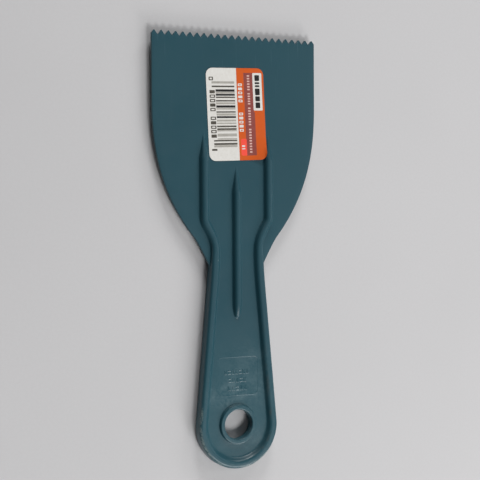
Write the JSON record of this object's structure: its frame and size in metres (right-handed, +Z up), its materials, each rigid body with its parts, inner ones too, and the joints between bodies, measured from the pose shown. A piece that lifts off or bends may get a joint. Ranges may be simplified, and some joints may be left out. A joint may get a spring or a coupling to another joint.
{
  "type": "notched trowel",
  "caption": "Plastic notched spreader: thin tapered blade with a sawtooth edge, stiffening ribs, flat rimmed handle with a hanging hole, and a paper size label on the blade.",
  "frame": {"origin": "centre of the length and width, at the lower faces of the ribs and handle rim", "axes": "X across the blade, +Y towards the notched edge, +Z up from the labelled face"},
  "size_m": [0.0754, 0.1834, 0.0062],
  "materials": {
    "teal_plastic": "semi-matt injection moulding, lightly scuffed",
    "label_paper": "printed self-adhesive size label"
  },
  "bodies": {
    "root": {"spreader_body": "teal_plastic", "label": "label_paper"}
  },
  "joints": []
}
